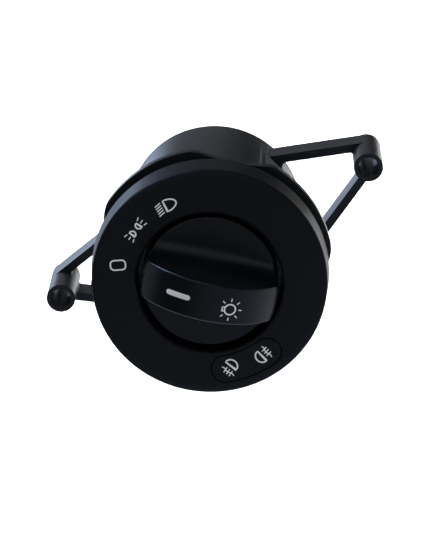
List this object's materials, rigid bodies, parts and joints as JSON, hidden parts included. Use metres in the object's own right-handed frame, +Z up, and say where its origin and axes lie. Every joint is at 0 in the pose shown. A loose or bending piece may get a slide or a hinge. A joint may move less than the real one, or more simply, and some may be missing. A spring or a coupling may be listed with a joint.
{
  "type": "headlight switch",
  "caption": "Round rotary headlight switch with a crowned grip knob, a rocking fog-lamp key and a barrel housing held by triangular screw ears.",
  "frame": {"origin": "midway between the two screw bosses, level with their front faces, on the switch's axis", "axes": "+X to the right as seen by the driver, +Y from the face into the dash along the switch's axis, +Z up"},
  "size_m": [0.1086, 0.0855, 0.0696],
  "materials": {
    "face_plastic": "fine-grained black moulding",
    "knob_plastic": "satin black moulding",
    "housing_plastic": "smooth black moulding",
    "inner_plastic": "dark grey moulding",
    "grey_plastic": "grey low-friction moulding",
    "clear_plastic": "clear light-guide moulding",
    "white_plastic": "translucent white moulding",
    "rubber_mat": "soft switch-mat rubber",
    "board": "glass-fibre board under green solder mask",
    "steel": "zinc-plated and spring steel",
    "copper_alloy": "stamped contact bronze"
  },
  "bodies": {
    "housing": {"housing": "housing_plastic", "bezel": "face_plastic", "light_guide": "clear_plastic", "carrier": "inner_plastic", "front_board": "board", "leds": "white_plastic", "key_mat": "rubber_mat", "link_pins": "copper_alloy", "detent_ring": "white_plastic", "contact_plate": "inner_plastic", "contact_tracks": "copper_alloy", "terminal_block": "inner_plastic", "connector_pins": "copper_alloy", "rear_cover": "inner_plastic", "carrier_screws": "steel"},
    "knob": {"knob": "knob_plastic", "pointer_window": "white_plastic", "knob_light_guide": "clear_plastic", "knob_clip": "steel", "spindle": "grey_plastic", "spindle_clip": "steel", "rotor": "grey_plastic", "detent_balls": "steel", "detent_springs": "steel", "contact_bridges": "copper_alloy"},
    "fog_key": {"fog_key": "face_plastic"}
  },
  "joints": [
    {"name": "knob_turn", "type": "hinge", "parent": "housing", "child": "knob", "pos_m": [0, 0, 0], "axis": [0, 1, 0], "range_deg": [0, 50]},
    {"name": "fog_key_rock", "type": "hinge", "parent": "housing", "child": "fog_key", "pos_m": [0, -0.0403, -0.0259], "axis": [0, 0, 1], "range_deg": [-2.5, 2.5], "stiffness_Nm_per_rad": 0.6}
  ]
}
